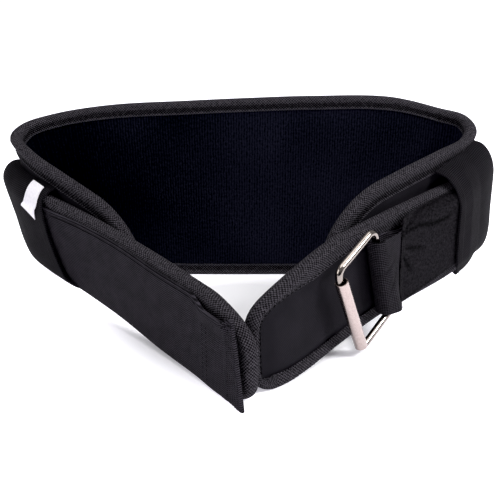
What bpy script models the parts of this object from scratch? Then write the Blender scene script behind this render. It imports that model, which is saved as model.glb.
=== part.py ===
"""Weightlifting belt standing on its edge, open at the front.

A tall foam panel wraps the back and sides. A narrower padded belt runs round its outside, under two keeper
loops, and carries a webbing strap whose right end folds round a steel ring with a roller.
Millimetres in the tables and functions below; MM turns them to metres where points are made.
+X is to the belt's right side as photographed, +Y to its back, +Z up, and the floor is Z = 0.
"""

import math
from collections import namedtuple

import bmesh
import bpy
import numpy as np
from mathutils import Matrix, Vector

MM = 0.001
GAP = 0.3
LAP = 0.6

# Thicknesses and widths
PANEL_THICK = 10.0
PAD_THICK = 12.0
TAPE_THICK = 1.1
TAPE_FLOOR = 1.8
PANEL_TAPE_WIDE = 11.0
PAD_TAPE_WIDE = 10.5
TAIL_THIN = 1.2
TAIL_TAPER = 36.0
LINING_THICK = 1.0
WEB_WIDE = 56.0
WEB_THICK = 2.0
TAIL_SLANT = 5.0
PATCH_THICK = 1.2
LOOP_THICK = 1.6
LABEL_THICK = 0.8

# Roller buckle
WIRE_THICK = 5.0
RING_TALL = 69.5
RING_LONG = 44.0
RING_BEND = 6.0
ROLLER_OUTER = 8.8
ROLLER_BORE = 7.4
ROLLER_LONG = 58.5
ROLLER_HANG = (-0.58, 0.68, -2.3)

# The belt's course. One row per section, from the webbing's free tail on the left, round the back, to the
# rounded tongue behind the buckle. x and y are the plan of the padded belt's inner face at LEAN_FROM,
# lean_x and lean_y are how far the wall moves per millimetre of height, and the rest are heights.
Section = namedtuple("Section", "x y lean_x lean_y pad_low pad_top web_low panel_low panel_top")
SECTIONS = (
    #         x       y   lean_x lean_y pad_low pad_top web_low panel_low panel_top
    Section(6.3, -205.5, 0.00, 0.00, 0.5, 58, 0, 24, 12),
    Section(-9, -188.5, 0.00, 0.00, 1, 58.5, 0.5, 24, 20),
    Section(-23, -170, 0.00, 0.00, 2.5, 60, 2, 24, 31),
    Section(-52, -134, 0.00, 0.00, 6, 64, 5, 25, 52),
    Section(-82, -103, -0.01, -0.02, 14, 70, 12.5, 24, 71),
    Section(-112, -76, -0.04, -0.05, 20, 77, 19, 20, 87.5),
    Section(-141, -53, -0.10, -0.11, 26, 85, 25, 17, 102.5),
    Section(-163, -31, -0.20, -0.10, 30, 91, 29, 15, 114.5),
    Section(-170.3, -12, -0.32, -0.03, 33, 96, 32, 13, 122.5),
    Section(-165.8, 4, -0.29, 0.04, 34, 98, 35, 11, 128.5),
    Section(-149, 12, -0.17, 0.07, 35, 101, 38, 9, 134.5),
    Section(-110, 12, -0.05, 0.06, 36, 105, 41, 4, 142),
    Section(-50, 11, -0.01, 0.03, 37, 108, 44, 0, 146),
    Section(0, 10.5, 0.00, 0.02, 37, 109, 45, 0, 148.5),
    Section(50, 11, 0.00, 0.02, 37, 109, 45, 0, 150),
    Section(110, 13, 0.02, 0.02, 37, 108, 43, 3, 149),
    Section(152, 15, 0.03, 0.02, 37, 107, 41, 10, 138),
    Section(169.8, 8, 0.055, 0.01, 36, 105, 39, 14, 133),
    Section(175.6, -9, 0.055, 0.00, 35, 103, 37, 17, 128),
    Section(169.5, -27, 0.03, 0.00, 31, 100, 33.5, 18, 123),
    Section(147, -49, 0.02, 0.00, 25.5, 96, 29, 18, 118),
    Section(118, -74, 0.00, 0.00, 20, 91, 23, 20, 111),
    Section(87, -101, 0.00, 0.00, 13, 86, 17.5, 24, 103.5),
    Section(55, -132, 0.00, 0.00, 6, 81, 11, 30, 97),
    Section(27, -163, -0.02, 0.00, 1, 75, 6, 34, 90),
    Section(12, -178, -0.03, 0.01, 0, 73.5, 5, 35, 87),
    Section(-5, -189, -0.03, 0.02, 0, 72, 4, 36, 84),
)
LEAN_FROM = 60.0
SPAN_STEPS = 24
MAX_STEP = 19.0
MAX_TURN = math.radians(13)

# How far along the course each piece runs
PANEL_START, PANEL_END = 133.0, 819.0
RETURN_END = 689.0
FOLD_START = 759.5
FOLD_NOSE = (783.0, 799.3)
LOOP_LEFT = (212.5, 266.0)
LOOP_RIGHT = (698.0, 651.0)

# From the course's own zero to the middle of the standing belt
HOME = Vector((2.9, 93.1, 0.0))

# Offsets from the padded belt's inner face, outwards positive
PANEL_OUT = -0.5
PANEL_IN = PANEL_OUT - PANEL_THICK
WEB_IN = PAD_THICK + GAP
WEB_OUT = WEB_IN + WEB_THICK
RETURN_MID = WEB_OUT + GAP + WEB_THICK / 2
PATCH_MID = RETURN_MID + WEB_THICK / 2 + GAP + PATCH_THICK / 2

# Rounded ends: how far the corner reaches along the belt and how far up it
End = namedtuple("End", "top_long top_tall low_long low_tall")
PANEL_ENDS = (End(45, 34, 14, 8), End(60, 46, 20, 14))
PAD_ENDS = (End(45, 27, 14, 12), End(75, 29, 16, 16))
ARC_STEPS = 5
FACE_PARTS = (0.0, 0.33, 0.67, 1.0)

# Where the buckle hangs. Its far bar runs up inside the strap's fold, dipped towards the tongue.
BAR_FOOT = (768.8, 19.4, 21.9)
BUCKLE_DIP = math.radians(24.4)
BUCKLE_FLARE = math.radians(0.6)
BUCKLE_OUT = math.radians(6.5)

COLOURS = {
    "nylon": (0.016, 0.015, 0.018, 1.0),
    "lining": (0.005, 0.006, 0.014, 1.0),
    "tape": (0.024, 0.023, 0.026, 1.0),
    "webbing": (0.018, 0.017, 0.020, 1.0),
    "pile": (0.022, 0.021, 0.024, 1.0),
    "satin": (0.85, 0.84, 0.85, 1.0),
    "steel": (0.62, 0.60, 0.58, 1.0),
    "roller": (0.72, 0.68, 0.67, 1.0),
}


def clear_scene():
    for thing in list(bpy.data.objects):
        bpy.data.objects.remove(thing, do_unlink=True)


def cloth(name, roughness=0.9):
    material = bpy.data.materials.new(name)
    material.use_nodes = True
    shader = material.node_tree.nodes["Principled BSDF"]
    shader.inputs["Base Color"].default_value = COLOURS[name]
    shader.inputs["Roughness"].default_value = roughness
    return material


def metal(name, roughness):
    material = cloth(name, roughness)
    material.node_tree.nodes["Principled BSDF"].inputs["Metallic"].default_value = 1.0
    return material


class Wall:
    """The belt's course as a smooth line, with every column of SECTIONS readable at any length along it."""

    def __init__(self, rows):
        values = np.array(rows, float)
        spans = np.linalg.norm(np.diff(values[:, :2], axis=0), axis=1)
        knots = np.concatenate([[0], np.cumsum(np.sqrt(spans))])
        slopes = np.gradient(values, knots, axis=0)
        points = []
        for i in range(len(rows) - 1):
            wide = knots[i + 1] - knots[i]
            for step in range(SPAN_STEPS):
                t = step / SPAN_STEPS
                points.append(
                    (2 * t**3 - 3 * t**2 + 1) * values[i]
                    + (t**3 - 2 * t**2 + t) * wide * slopes[i]
                    + (3 * t**2 - 2 * t**3) * values[i + 1]
                    + (t**3 - t**2) * wide * slopes[i + 1]
                )
        self.points = np.array(points + [values[-1]])
        steps = np.diff(self.points[:, :2], axis=0)
        self.lengths = np.concatenate([[0], np.cumsum(np.linalg.norm(steps, axis=1))])
        self.end = self.lengths[-1]
        ways = np.gradient(self.points[:, :2], self.lengths, axis=0)
        self.ways = ways / np.linalg.norm(ways, axis=1)[:, None]
        self.stations = self.find_stations()

    def find_stations(self):
        """Lengths shared by all pieces, close together where the wall turns and further apart elsewhere."""
        turns = np.unwrap(np.arctan2(self.ways[:, 1], self.ways[:, 0]))
        found = [0]
        for i in range(1, len(self.lengths)):
            far = self.lengths[i] - self.lengths[found[-1]]
            turned = abs(turns[i] - turns[found[-1]])
            if far > MAX_STEP or turned > MAX_TURN:
                found.append(i)
        return [float(self.lengths[i]) for i in found[1:]]

    def between(self, start, end, clear=5.0):
        """The shared stations strictly between two lengths, leaving out any that crowd the two ends."""
        return [s for s in self.stations if start + clear < s < end - clear]

    def read(self, name, s):
        value = float(np.interp(s, self.lengths, self.points[:, Section._fields.index(name)]))
        return max(0.0, value) if name.endswith("_low") else value

    def way(self, s):
        way = Vector([float(np.interp(s, self.lengths, self.ways[:, i])) for i in (0, 1)])
        return way.normalized()

    def place(self, s, off, z):
        """The point at length s along the wall, off outside the belt's inner face, and z above the floor."""
        inside = min(max(s, 0.0), self.end)
        way = self.way(inside)
        past = s - inside
        rise = z - LEAN_FROM
        x = self.read("x", inside) - way.y * off + way.x * past + self.read("lean_x", inside) * rise
        y = self.read("y", inside) + way.x * off + way.y * past + self.read("lean_y", inside) * rise
        return (Vector((x, y, z)) + HOME) * MM


WALL = Wall(SECTIONS)


def add_object(name, mesh, material, collection):
    thing = bpy.data.objects.new(name, mesh)
    thing.data.materials.append(material)
    collection.objects.link(thing)
    return thing


def skin(bm, one, two, i, j):
    """Two triangles between neighbouring rows, split from the lower point, so that all pieces twist alike."""
    if one[i].co.z < one[j].co.z:
        bm.faces.new((one[i], one[j], two[j]))
        bm.faces.new((one[i], two[j], two[i]))
    else:
        bm.faces.new((one[i], one[j], two[i]))
        bm.faces.new((one[j], two[j], two[i]))


def loft(name, sections, material, collection, closed=False):
    """Skins like-numbered rings into one closed body, capped at its ends unless it closes on itself."""
    mesh = bpy.data.meshes.new(name)
    bm = bmesh.new()
    rings = [[bm.verts.new(point) for point in section] for section in sections]
    pairs = list(zip(rings, rings[1:]))
    if closed:
        pairs.append((rings[-1], rings[0]))
    for one, two in pairs:
        for i in range(len(one)):
            skin(bm, one, two, i, (i + 1) % len(one))
    if not closed:
        bm.faces.new(reversed(rings[0]))
        bm.faces.new(rings[-1])
    bmesh.ops.recalc_face_normals(bm, faces=bm.faces)
    bm.to_mesh(mesh)
    bm.free()
    return add_object(name, mesh, material, collection)


def sheet(name, grid, thick, material, collection):
    """A cloth piece: an open grid of points through its middle, given its thickness by Solidify."""
    mesh = bpy.data.meshes.new(name)
    bm = bmesh.new()
    rows = [[bm.verts.new(point) for point in row] for row in grid]
    for one, two in zip(rows, rows[1:]):
        for i in range(len(one) - 1):
            skin(bm, one, two, i, i + 1)
    bm.to_mesh(mesh)
    bm.free()
    thing = add_object(name, mesh, material, collection)
    solid = thing.modifiers.new("thickness", "SOLIDIFY")
    solid.thickness = thick * MM
    solid.offset = 0
    solid.use_even_offset = True
    return thing


def heights(kind, s):
    return WALL.read(kind + "_low", s), WALL.read(kind + "_top", s)


def arc_angles():
    return [math.radians(90) * i / ARC_STEPS for i in range(ARC_STEPS + 1)]


def corner(kind, s_end, inwards, end, upper, angle, inset):
    """A point on a rounded end corner, from angle 0 at the long edge to 90 degrees at the end."""
    long, tall = (end.top_long, end.top_tall) if upper else (end.low_long, end.low_tall)
    s = s_end + inwards * long * (1 - math.sin(angle))
    low, top = heights(kind, s)
    drop = tall * (1 - math.cos(angle)) + inset * math.cos(angle)
    z = top - drop if upper else low + drop
    return s + inwards * inset * math.sin(angle), z


def core_rows(kind, start, end, ends, inset):
    """Lengths along the wall with the core's lowest and highest height at each, rounded in at both ends."""
    rows = {}
    for s_end, inwards, shape in ((start, 1, ends[0]), (end, -1, ends[1])):
        upper = [corner(kind, s_end, inwards, shape, True, a, inset) for a in arc_angles()]
        lower = [corner(kind, s_end, inwards, shape, False, a, inset) for a in arc_angles()]
        reach = max(shape.top_long, shape.low_long)
        tops = sorted(upper)
        lows = sorted(lower)
        for s in [point[0] for point in upper + lower]:
            low, top = heights(kind, s)
            past_top = abs(s - s_end) > shape.top_long
            past_low = abs(s - s_end) > shape.low_long
            z_top = top - inset if past_top else float(np.interp(s, *zip(*tops)))
            z_low = low + inset if past_low else float(np.interp(s, *zip(*lows)))
            rows[round(s, 3)] = (z_low, z_top)
    near, far = start + reach_of(ends[0]), end - reach_of(ends[1])
    for s in WALL.between(near, far):
        low, top = heights(kind, s)
        rows[s] = (low + inset, top - inset)
    kept = []
    for s in sorted(rows):
        if kept and s - kept[-1][0] < 1.2 and 1.5 < s - start < end - start - 1.5:
            continue
        kept.append((s, *rows[s]))
    return kept


def reach_of(end):
    return max(end.top_long, end.low_long)


def thinned(off, s):
    """The padded belt's outer face draws in towards its left end, away from the webbing's tail."""
    return off - TAIL_THIN * min(1.0, max(0.0, 1.4 - 1.4 * s / TAIL_TAPER)) if off > 0 else off


def padded_core(name, kind, start, end, ends, inside, outer, inset, material, collection):
    """The foam and its cover: a slab between two offsets, with softened edges that the tape folds over."""
    soft = 1.8
    sections = []
    for s, low, top in core_rows(kind, start, end, ends, inset):
        outside = thinned(outer, s)
        rise = [low + soft + (top - low - 2 * soft) * part for part in FACE_PARTS]
        ring = [(inside + soft, low), (outside - soft, low)]
        ring += [(outside, z) for z in rise]
        ring += [(outside - soft, top), (inside + soft, top)]
        ring += [(inside, z) for z in reversed(rise)]
        sections.append([WALL.place(s, off, z) for off, z in ring])
    return loft(name, sections, material, collection)


def edge_course(kind, start, end, ends):
    """Points round the whole edge of a padded piece, each with the direction that points into the piece."""
    course = []
    first, last = ends

    def add(s_end, inwards, shape, upper, angles):
        for angle in angles:
            s, z = corner(kind, s_end, inwards, shape, upper, angle, 0.0)
            across = math.sin(angle) * inwards
            up = math.cos(angle) * (-1 if upper else 1)
            course.append((s, z, across, up))

    angles = arc_angles()
    add(start, 1, first, False, reversed(angles))
    for s in WALL.between(start + first.low_long, end - last.low_long):
        course.append((s, WALL.read(kind + "_low", s), 0.0, 1.0))
    add(end, -1, last, False, angles)
    add(end, -1, last, True, reversed(angles))
    for s in reversed(WALL.between(start + first.top_long, end - last.top_long)):
        course.append((s, WALL.read(kind + "_top", s), 0.0, -1.0))
    add(start, 1, first, True, angles)
    return course


def edge_tape(name, kind, start, end, ends, inside, outer, wide, material, collection):
    """Binding tape folded over the edge all round: a channel that opens into the piece."""
    turn = 2.6
    bend = 0.8
    sections = []
    for s, z, across, up in edge_course(kind, start, end, ends):
        outside = thinned(outer, s)
        ring = (
            (inside, wide), (inside, turn), (inside + bend * turn, 0.0), (outside - bend * turn, 0.0),
            (outside, turn), (outside, wide), (outside - TAPE_THICK, wide),
            (outside - TAPE_THICK, TAPE_FLOOR), (inside + TAPE_THICK, TAPE_FLOOR),
            (inside + TAPE_THICK, wide),
        )
        sections.append([WALL.place(s + deep * across, off, z + deep * up) for off, deep in ring])
    return loft(name, sections, material, collection, closed=True)


def build_panel(collection):
    """The tall back panel: foam in black nylon, a ribbed lining sheet inside, and tape round its edge."""
    inset = TAPE_FLOOR + LAP
    core_out = PANEL_OUT - TAPE_THICK - LAP
    lining_mid = PANEL_IN + TAPE_THICK + LAP + LINING_THICK / 2
    core_in = lining_mid + LINING_THICK / 2 + GAP
    padded_core("back_panel", "panel", PANEL_START, PANEL_END, PANEL_ENDS, core_in, core_out, inset,
                cloth("nylon", 0.7), collection)
    lining_inset = inset + 1.0
    grid = []
    for s, low, top in core_rows("panel", PANEL_START, PANEL_END, PANEL_ENDS, lining_inset):
        grid.append([WALL.place(s, lining_mid, low + (top - low) * part) for part in FACE_PARTS])
    sheet("back_lining", grid, LINING_THICK, cloth("lining"), collection)
    edge_tape("panel_binding", "panel", PANEL_START, PANEL_END, PANEL_ENDS, PANEL_IN, PANEL_OUT,
              PANEL_TAPE_WIDE, cloth("tape"), collection)


def build_pad(collection):
    """The padded belt that runs round the outside, with its own edge tape."""
    inset = TAPE_FLOOR + LAP
    inside = TAPE_THICK + LAP
    padded_core("belt_pad", "pad", 0.0, WALL.end, PAD_ENDS, inside, PAD_THICK - inside, inset,
                cloth("nylon", 0.7), collection)
    edge_tape("pad_binding", "pad", 0.0, WALL.end, PAD_ENDS, 0.0, PAD_THICK, PAD_TAPE_WIDE,
              cloth("tape"), collection)


def fold_course(part):
    """The webbing's middle line round the buckle's bar as (length, offset), at a height from 0 to 1.

    The bar leans, so the fold reaches further along the belt at its top than at its foot.
    """
    inner = WEB_IN + WEB_THICK / 2
    outer = 24.5
    round_off = (outer - inner) / 2
    nose = FOLD_NOSE[0] + (FOLD_NOSE[1] - FOLD_NOSE[0]) * part
    bar = BAR_FOOT[0] + WEB_WIDE * math.tan(BUCKLE_DIP) * part
    course = [(FOLD_START, inner), (FOLD_START + 12, inner), (nose - round_off, inner)]
    for i in range(1, 6):
        angle = math.radians(-90 + 30 * i)
        course.append((nose - round_off * (1 - math.cos(angle)), inner + round_off * (1 + math.sin(angle))))
    course.append((nose - round_off - 2, outer))
    course.append((bar - 3.0, outer - 0.4))
    course.append((FOLD_START + 1.5 + 3.0 * part, RETURN_MID + 2.2))
    course.append((FOLD_START - 2.0, RETURN_MID))
    return course


def web_height(s, part):
    return WALL.read("web_low", s) + WEB_WIDE * part


def tail_shift(s, part):
    """The tail's end runs a little out at its foot."""
    return TAIL_SLANT * (part - 0.5) * max(0.0, 1 - s / 16)


def build_webbing(collection):
    """One strap: free tail, round the back, round the buckle's bar and back under the pile patch."""
    inner = WEB_IN + WEB_THICK / 2
    grid = []
    for s in [0.0] + WALL.between(0.0, FOLD_START):
        grid.append([WALL.place(s + tail_shift(s, part), inner, web_height(s, part)) for part in FACE_PARTS])
    folds = [fold_course(part) for part in FACE_PARTS]
    for i in range(len(folds[0])):
        row = []
        for part, course in zip(FACE_PARTS, folds):
            s, off = course[i]
            lifted = 1.6 * min(1.0, max(0.0, (s - FOLD_START) / 25))
            row.append(WALL.place(s, off, web_height(min(s, FOLD_START), part) + lifted))
        grid.append(row)
    for s in list(reversed(WALL.between(RETURN_END, FOLD_START - 3))) + [RETURN_END]:
        grid.append([WALL.place(s, RETURN_MID, web_height(s, part)) for part in FACE_PARTS])
    sheet("webbing", grid, WEB_THICK, cloth("webbing", 0.75), collection)


def build_patch(collection):
    """The loop-pile patch sewn over the folded strap and the pad above it."""
    start, end = RETURN_END + 1.0, FOLD_START - 3.5
    grid = []
    for s in [start] + WALL.between(start, end) + [end]:
        web_low = WALL.read("web_low", s)
        web_top = web_low + WEB_WIDE
        high = WALL.read("pad_top", s) - 3.5
        flat = PAD_THICK + GAP + PATCH_THICK / 2
        column = (
            (web_low + 1.0, PATCH_MID), (web_low + WEB_WIDE / 2, PATCH_MID), (web_top + 0.3, PATCH_MID),
            (web_top + 2.6, (PATCH_MID + flat) / 2), (web_top + 4.8, flat), (high, flat),
        )
        grid.append([WALL.place(s, off, z) for z, off in column])
    sheet("pile_patch", grid, PATCH_THICK, cloth("pile"), collection)


LOOP_MID = WEB_OUT + 2.2
PATCH_LIFT = PATCH_MID + 2.1 - LOOP_MID
LOOP_BELLY = 2.4
LoopShape = namedtuple("LoopShape", "span root patch_lift drop back_rise top_shift low_shift")
LOOPS = {
    "loop_left": LoopShape(LOOP_LEFT, -0.8, 0.0, 21.0, -9.0, 3.0, 9.0),
    "loop_right": LoopShape(LOOP_RIGHT, 0.6, PATCH_LIFT, 28.0, 8.0, 8.0, -13.0),
}
LOOP_ACROSS = 8

# The label's place on the left loop: columns as parts of its width with how far down each hangs, and rows
# down the loop's grid with how far each has slipped across
LABEL_LIFT = 0.9
LABEL_COLUMNS = ((0.15, 1.04), (0.255, 1.0), (0.36, 0.96))
LABEL_ROWS = ((0.6, 0.0), (1.0, 0.01), (2.0, 0.02), (3.0, 0.035), (4.0, 0.05), (5.3, 0.09))


def loop_course(s, root, bulge, drop, rise):
    """A keeper loop's middle line at length s, from the panel's top, over the belt, to the panel's foot."""
    web_low = WALL.read("web_low", s)
    pad_top = WALL.read("pad_top", s)
    sewn = WALL.read("panel_top", s) - PANEL_TAPE_WIDE - 0.6 + rise
    drop = min(drop, 2.4 * (sewn - pad_top))
    course = []
    for degrees in (0, 22, 42, 60, 76, 90):
        angle = math.radians(degrees)
        course.append((root + (bulge - root) * math.sin(angle), sewn - drop * (1 - math.cos(angle))))
    course += [
        (bulge + LOOP_BELLY / 2, (web_low + pad_top) / 2),
        (bulge + LOOP_BELLY, web_low + 12.0),
        (bulge + LOOP_BELLY / 2, web_low + 2.0),
        (bulge - 1.8, web_low - 2.6),
        (8.5, WALL.read("pad_low", s) - 2.0),
        (PANEL_OUT + GAP + LOOP_THICK / 2, WALL.read("panel_low", s) + 4.0),
    ]
    return course


def loop_grid(shape):
    """The loop's surface as columns across its width. Its edges lean and bow, so each height has a shift."""
    front, back = shape.span
    grid = []
    for i in range(LOOP_ACROSS + 1):
        part = i / LOOP_ACROSS
        s = front + (back - front) * part
        bulge = LOOP_MID + shape.patch_lift * min(1.0, max(0.0, (0.62 - part) / 0.3))
        course = loop_course(s, shape.root, bulge, shape.drop, shape.back_rise * part)
        column = []
        for k, (off, z) in enumerate(course):
            down = k / (len(course) - 1)
            shift = shape.top_shift * max(0.0, 1 - 2.5 * down)
            shift += shape.low_shift * max(0.0, 2 * down - 1) * (1 - 0.7 * part)
            column.append(WALL.place(s + shift, off, z))
        grid.append(column)
    return grid


def build_loops(collection):
    """The two webbing keepers, sewn to the panel above and below the belt that they hold."""
    for name, shape in LOOPS.items():
        sheet(name, loop_grid(shape), LOOP_THICK, cloth("webbing", 0.8), collection)


def build_label(collection):
    """A small bare satin label that hangs from under the panel's tape, over the left loop."""
    grid = loop_grid(LOOPS["loop_left"])
    lift = (LOOP_THICK + LABEL_THICK) / 2 + LABEL_LIFT
    rows = []
    for across, hang in LABEL_COLUMNS:
        row = []
        for place, slip in LABEL_ROWS:
            column = (across + slip) * LOOP_ACROSS
            down = place * hang
            i, k = int(column), int(down)
            here = grid[i][k].lerp(grid[i + 1][k], column - i)
            below = grid[i][k + 1].lerp(grid[i + 1][k + 1], column - i)
            outwards = (grid[i + 1][k] - grid[i][k]).cross(grid[i][k + 1] - grid[i][k]).normalized()
            row.append(here.lerp(below, down - k) + outwards * lift * MM)
        rows.append(row)
    sheet("care_label", rows, LABEL_THICK, cloth("satin", 0.5), collection)


def buckle_frame():
    """Local X runs from the far bar to the roller, local Y away from the belt, local Z up along the bar."""
    s, off, z = BAR_FOOT
    way = WALL.way(s)
    wall = Matrix(((way.x, -way.y, 0), (way.y, way.x, 0), (0, 0, 1)))
    turned = (
        wall
        @ Matrix.Rotation(BUCKLE_DIP, 3, "Y")
        @ Matrix.Rotation(-BUCKLE_FLARE, 3, "X")
        @ Matrix.Rotation(BUCKLE_OUT, 3, "Z")
    )
    foot = WALL.place(s, off, z)
    middle = foot + turned @ Vector((0, 0, RING_TALL / 2)) * MM
    return Matrix.Translation(middle) @ turned.to_4x4()


def build_ring(hinge, collection):
    """A rectangle of steel wire with bent corners. Its far bar lies on the hinge, inside the strap's fold."""
    centres = ((RING_LONG, 1), (0, 1), (0, -1), (RING_LONG, -1))
    points = []
    for number, (x, side) in enumerate(centres):
        cx = RING_BEND if x == 0 else RING_LONG - RING_BEND
        cz = side * (RING_TALL / 2 - RING_BEND)
        for i in range(5):
            angle = math.radians(90 * number + 22.5 * i)
            points.append((cx + RING_BEND * math.cos(angle), cz + RING_BEND * math.sin(angle)))
    curve = bpy.data.curves.new("buckle_ring", "CURVE")
    curve.dimensions = "3D"
    curve.bevel_depth = WIRE_THICK / 2 * MM
    curve.bevel_resolution = 3
    curve.use_fill_caps = True
    spline = curve.splines.new("POLY")
    spline.points.add(len(points) - 1)
    for point, (x, z) in zip(spline.points, points):
        point.co = (x * MM, 0.0, z * MM, 1.0)
    spline.use_cyclic_u = True
    ring = add_object("buckle_ring", curve, metal("steel", 0.18), collection)
    ring.parent = hinge
    return ring


def build_roller(hinge, collection):
    """A loose steel sleeve on the ring's near bar, hanging off the bar's centre line at the lower bend."""
    outer, bore, half = ROLLER_OUTER / 2, ROLLER_BORE / 2, ROLLER_LONG / 2
    rim = 0.4
    profile = ((outer - rim, half), (outer, half - rim), (outer, rim - half), (outer - rim, -half),
               (bore, -half), (bore, half))
    mesh = bpy.data.meshes.new("buckle_roller")
    mesh.from_pydata([(x * MM, 0.0, z * MM) for x, z in profile],
                     [(i, (i + 1) % len(profile)) for i in range(len(profile))], [])
    roller = add_object("buckle_roller", mesh, metal("roller", 0.35), collection)
    screw = roller.modifiers.new("turn", "SCREW")
    screw.axis = "Z"
    screw.angle = math.radians(360)
    screw.steps = 20
    screw.render_steps = 20
    screw.use_merge_vertices = True
    screw.merge_threshold = 0.00001
    screw.use_normal_calculate = True
    roller.parent = hinge
    roller.location = (Vector((RING_LONG, 0, 0)) + Vector(ROLLER_HANG)) * MM
    return roller


def build_buckle(collection):
    hinge = bpy.data.objects.new("buckle_hinge", None)
    hinge.matrix_world = buckle_frame()
    collection.objects.link(hinge)
    build_ring(hinge, collection)
    build_roller(hinge, collection)


def main():
    clear_scene()
    belt = bpy.data.collections.new("weightlifting_belt")
    bpy.context.scene.collection.children.link(belt)
    build_panel(belt)
    build_pad(belt)
    build_webbing(belt)
    build_patch(belt)
    build_loops(belt)
    build_label(belt)
    build_buckle(belt)


main()
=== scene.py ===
"""Weightlifting belt standing on its edge: its cloth, padding, tape, stitching and steel buckle, dressed over
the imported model. Lengths in the sections below are millimetres unless a name says otherwise."""

import math
from collections import namedtuple

import bmesh
import bpy
import numpy as np
from mathutils import Matrix, Vector


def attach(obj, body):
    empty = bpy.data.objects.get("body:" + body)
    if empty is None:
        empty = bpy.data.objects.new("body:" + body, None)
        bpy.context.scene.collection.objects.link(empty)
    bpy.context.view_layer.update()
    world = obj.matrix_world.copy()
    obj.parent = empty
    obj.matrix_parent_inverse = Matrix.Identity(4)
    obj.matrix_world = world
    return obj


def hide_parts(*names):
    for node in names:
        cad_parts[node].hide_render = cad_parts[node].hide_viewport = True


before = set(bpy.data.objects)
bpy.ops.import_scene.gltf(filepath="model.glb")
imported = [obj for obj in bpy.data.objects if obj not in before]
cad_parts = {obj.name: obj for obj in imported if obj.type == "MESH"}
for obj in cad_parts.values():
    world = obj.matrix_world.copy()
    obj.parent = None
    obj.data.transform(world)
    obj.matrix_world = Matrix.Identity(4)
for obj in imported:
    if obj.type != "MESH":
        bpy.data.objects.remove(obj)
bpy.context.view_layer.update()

# Back panel. A slab of closed-cell foam in a cover of plain-woven black nylon, cut tall for the back and low
# towards the front, with a rounded corner at each end. The tape and the lining below close it.
MM = 0.001
COLUMNS = "x y lean_x lean_y pad_low pad_top web_low panel_low panel_top".split()
SECTIONS = (
    # The belt's line from its free tail on the left, round the back, to the tongue under the buckle: the plan
    # of the pad's inner face at LEAN_FROM, how far the wall leans per millimetre of height, then heights
    (6.3, -205.5, 0, 0, 0.5, 58, 0, 24, 12),
    (-9, -188.5, 0, 0, 1, 58.5, 0.5, 24, 20),
    (-23, -170, 0, 0, 2.5, 60, 2, 24, 31),
    (-52, -134, 0, 0, 6, 64, 4.2, 25, 52),
    (-82, -103, -0.01, -0.02, 13, 70, 11.3, 24, 71),
    (-112, -76, -0.04, -0.05, 19, 77, 17.2, 20, 87.5),
    (-141, -53, -0.10, -0.11, 25, 85, 22.5, 17, 102.5),
    (-163, -31, -0.20, -0.10, 30, 91, 28, 15, 114.5),
    (-170.3, -12, -0.32, -0.03, 33, 96, 32, 13, 122.5),
    (-165.8, 4, -0.29, 0.04, 34, 98, 35, 11, 128.5),
    (-149, 12, -0.17, 0.07, 35, 101, 38, 9, 134.5),
    (-110, 12, -0.05, 0.06, 36, 105, 41, 4, 142),
    (-50, 11, -0.01, 0.03, 37, 108, 44, 0, 146),
    (0, 10.5, 0, 0.02, 37, 109, 45, 0, 148.5),
    (50, 11, 0, 0.02, 37, 109, 45, 0, 150),
    (110, 13, 0.02, 0.02, 37, 108, 43, 3, 149),
    (152, 15, 0.03, 0.02, 37, 107, 41, 10, 139.5),
    (169.8, 8, 0.065, 0.01, 36, 105, 39, 14, 135.5),
    (175.6, -9, 0.06, 0, 33, 103, 40, 17, 129.5),
    (169.5, -27, 0.03, 0, 27.5, 100, 38, 18, 123),
    (147, -49, 0.02, 0, 21.5, 96, 34.3, 18, 118),
    (118, -74, 0, 0, 17.5, 91, 25.7, 20, 111),
    (87, -101, 0, 0, 13, 86, 17.5, 24, 103.5),
    (55, -132, 0, 0, 6, 81, 11, 30, 97),
    (27, -163, -0.02, 0, 1, 75, 6, 34, 90),
    (12, -178, -0.03, 0.01, 0, 73.5, 5, 35, 87),
    (-5, -189, -0.03, 0.02, 0, 72, 4, 36, 84),
)
LEAN_FROM = 60.0
HOME = np.array((2.9, 93.1, 0.0))
PANEL_START, PANEL_END = 133.0, 819.0
PANEL_IN, PANEL_OUT = -10.5, -0.5
Corner = namedtuple("Corner", "top_long top_tall low_long low_tall")
PANEL_CORNERS = (Corner(45, 34, 14, 8), Corner(60, 46, 20, 14))


def smooth_line(rows, steps, wide):
    """A smooth curve through rows of values, with steps points a span. The first wide columns say how far
    apart the rows are."""
    values = np.array(rows, float)
    spans = np.linalg.norm(np.diff(values[:, :wide], axis=0), axis=1)
    knots = np.concatenate([[0], np.cumsum(np.sqrt(np.maximum(spans, 1e-6)))])
    slopes = np.gradient(values, knots, axis=0)
    t = (np.arange(steps) / steps)[:, None]
    parts = []
    for i in range(len(values) - 1):
        reach = knots[i + 1] - knots[i]
        parts.append(
            (2 * t**3 - 3 * t**2 + 1) * values[i]
            + (t**3 - 2 * t**2 + t) * reach * slopes[i]
            + (3 * t**2 - 2 * t**3) * values[i + 1]
            + (t**3 - t**2) * reach * slopes[i + 1]
        )
    return np.concatenate(parts + [values[-1:]])


course = smooth_line(SECTIONS, 24, 2)
course_steps = np.linalg.norm(np.diff(course[:, :2], axis=0), axis=1)
course_lengths = np.concatenate([[0], np.cumsum(course_steps)])
course_ways = np.gradient(course[:, :2], course_lengths, axis=0)
COURSE_END = float(course_lengths[-1])


def read(column, s):
    """A column of SECTIONS at any length along the belt."""
    value = np.interp(s, course_lengths, course[:, COLUMNS.index(column)])
    return np.maximum(value, 0.0) if column.endswith("_low") else value


def way(s):
    """The belt's direction in plan."""
    found = np.stack([np.interp(s, course_lengths, course_ways[:, i]) for i in (0, 1)], -1)
    return found / np.linalg.norm(found, axis=-1, keepdims=True)


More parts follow.
